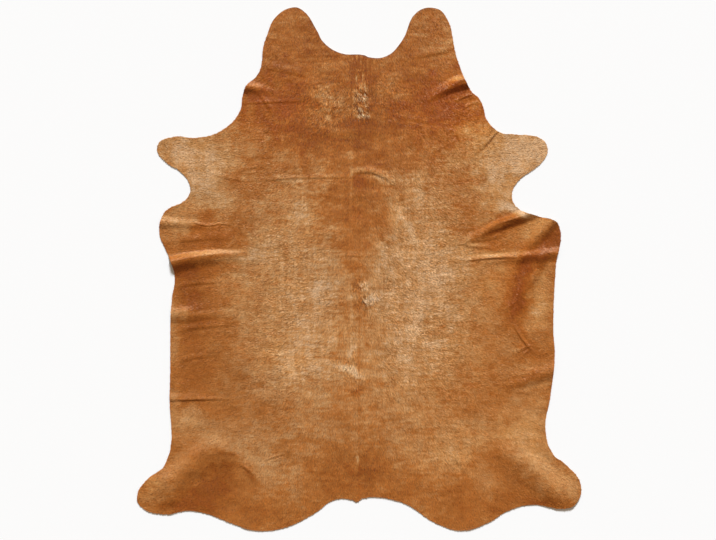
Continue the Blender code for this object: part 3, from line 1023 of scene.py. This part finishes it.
def lock_mesh(name, corners, colours, coat):
    """Joins locks into one mesh with their colours, a map over them, and one seen from above."""
    count = len(corners)
    first = np.arange(count)[:, None] * 5
    blades = first + np.array((0, 1, 2, 3))
    tips = first + np.array((3, 2, 4))
    mesh = bpy.data.meshes.new(name)
    mesh.from_pydata(corners.reshape(-1, 3), [], blades.tolist() + tips.tolist())
    mesh.polygons.foreach_set("use_smooth", np.ones(len(mesh.polygons), bool))
    paint(mesh, colours.reshape(-1, 3))
    order = np.concatenate([blades.ravel(), tips.ravel()])
    flat = corners.reshape(-1, 3)[:, :2]
    low, high = flat.min(axis=0), flat.max(axis=0)
    above = mesh.uv_layers.new(name="OFBake")
    above.data.foreach_set("uv", ((flat - low) / (high - low))[order].ravel().astype(np.float32))
    shift = np.random.default_rng(coat.seed + 13).uniform(0.0, 50.0, (count, 1, 2))
    places = (np.array(LOCK_MAP) + shift).reshape(-1, 2)
    strand = mesh.uv_layers.new(name="strand")
    strand.data.foreach_set("uv", places[order].ravel().astype(np.float32))
    return mesh


class COWHIDE_OT_leather(bpy.types.Operator):
    """Cuts the leather of the hide and gives it its skin, suede and raw edge"""

    bl_idname = "cowhide.leather"
    bl_label = "Leather"

    def execute(self, context):
        leather = context.scene.cowhide_leather
        mesh = leather_sheet(leather, context.scene.cowhide_coat)
        materials = [skin_material(leather), suede_material(leather), cut_material(leather)]
        piece = finished("leather", mesh, materials)
        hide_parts("cowhide")
        return {"FINISHED"}


class COWHIDE_OT_coat(bpy.types.Operator):
    """Covers the leather with its combed coat, band by band"""

    bl_idname = "cowhide.coat"
    bl_label = "Coat"

    def execute(self, context):
        leather = context.scene.cowhide_leather
        coat = context.scene.cowhide_coat
        edge = edge_line()
        x, y, depth = lock_roots(coat, edge)
        corners = lock_vertices(x, y, depth, coat, leather, edge)
        colours = lock_colours(x, y, depth, coat)
        material = hair_material()
        from_y = math.inf
        for band in BANDS:
            own = (y <= from_y) & (y > band.to_y)
            if 3 * own.sum() > MOST_TRIANGLES:
                raise RuntimeError(f"{band.name} has {own.sum()} locks, too many for one piece")
            mesh = lock_mesh(band.name, corners[own], colours[own], coat)
            finished(band.name, mesh, [material])
            from_y = band.to_y
        return {"FINISHED"}


class COWHIDE_OT_studio(bpy.types.Operator):
    """Lays a pale floor, lights it softly and hangs the camera over the hide"""

    bl_idname = "cowhide.studio"
    bl_label = "Studio"

    def execute(self, context):
        studio = context.scene.cowhide_studio
        lay_floor(studio)
        soft_key(studio)
        world = bpy.data.worlds.new("even light")
        world.use_nodes = True
        background = world.node_tree.nodes["Background"]
        set_inputs(background, {"Color": studio.sky_tone, "Strength": studio.sky})
        context.scene.world = world
        context.scene.view_settings.view_transform = "Standard"
        hang_camera(context.scene, studio)
        return {"FINISHED"}


def lay_floor(studio):
    """A plain pale floor, wide enough for every view."""
    looks = {"Roughness": 0.9, "Base Color": studio.floor}
    material, _ = plain_material("pale floor", looks)
    floor = bmesh.new()
    bmesh.ops.create_grid(floor, x_segments=1, y_segments=1, size=FLOOR_REACH)
    bmesh.ops.translate(floor, verts=floor.verts, vec=(0.0, 0.0, -FLOOR_DROP))
    mesh = bpy.data.meshes.new("floor")
    floor.to_mesh(mesh)
    floor.free()
    mesh.materials.append(material)
    place("floor", mesh)


def soft_key(studio):
    """One broad, soft light that rakes the hide from past its neck, so that its ripples show."""
    light = bpy.data.lights.new("key light", "SUN")
    light.energy = studio.key_strength
    light.color = studio.key_tone
    light.angle = studio.key_softness
    level = math.cos(studio.key_height)
    east = level * math.sin(studio.key_side)
    north = level * math.cos(studio.key_side)
    from_there = Vector((east, north, math.sin(studio.key_height)))
    lamp = place("key light", light)
    lamp.location = LAMP_DISTANCE * from_there
    lamp.rotation_euler = (-from_there).to_track_quat("-Z", "Y").to_euler()


def hang_camera(scene, studio):
    """A long lens straight over the hide, with the neck at the top of the picture."""
    data = bpy.data.cameras.new("camera")
    data.sensor_fit = "HORIZONTAL"
    data.lens = data.sensor_width * studio.camera_height / studio.view_width
    data.clip_end = 50.0
    camera = place("camera", data)
    camera.location = (studio.aim[0], studio.aim[1], studio.camera_height)
    scene.camera = camera


class COWHIDE_PT_panel(bpy.types.Panel):
    bl_label = "Cowhide Rug"
    bl_space_type = "VIEW_3D"
    bl_region_type = "UI"
    bl_category = "Cowhide"

    def draw(self, context):
        scene = context.scene
        for title, settings, operator in (
            ("Leather", scene.cowhide_leather, COWHIDE_OT_leather),
            ("Coat", scene.cowhide_coat, COWHIDE_OT_coat),
            ("Studio", scene.cowhide_studio, COWHIDE_OT_studio),
        ):
            box = self.layout.box()
            box.label(text=title)
            for name in settings.__annotations__:
                box.prop(settings, name)
            box.operator(operator.bl_idname)


CLASSES = (
    CowhideLeather,
    CowhideCoat,
    CowhideStudio,
    COWHIDE_OT_leather,
    COWHIDE_OT_coat,
    COWHIDE_OT_studio,
    COWHIDE_PT_panel,
)


def register():
    for cls in CLASSES:
        bpy.utils.register_class(cls)
    bpy.types.Scene.cowhide_leather = PointerProperty(type=CowhideLeather)
    bpy.types.Scene.cowhide_coat = PointerProperty(type=CowhideCoat)
    bpy.types.Scene.cowhide_studio = PointerProperty(type=CowhideStudio)


def unregister():
    del bpy.types.Scene.cowhide_studio
    del bpy.types.Scene.cowhide_coat
    del bpy.types.Scene.cowhide_leather
    for cls in reversed(CLASSES):
        bpy.utils.unregister_class(cls)


def main():
    register()
    bpy.ops.cowhide.leather()
    bpy.ops.cowhide.coat()
    bpy.ops.cowhide.studio()


if __name__ == "__main__":
    main()
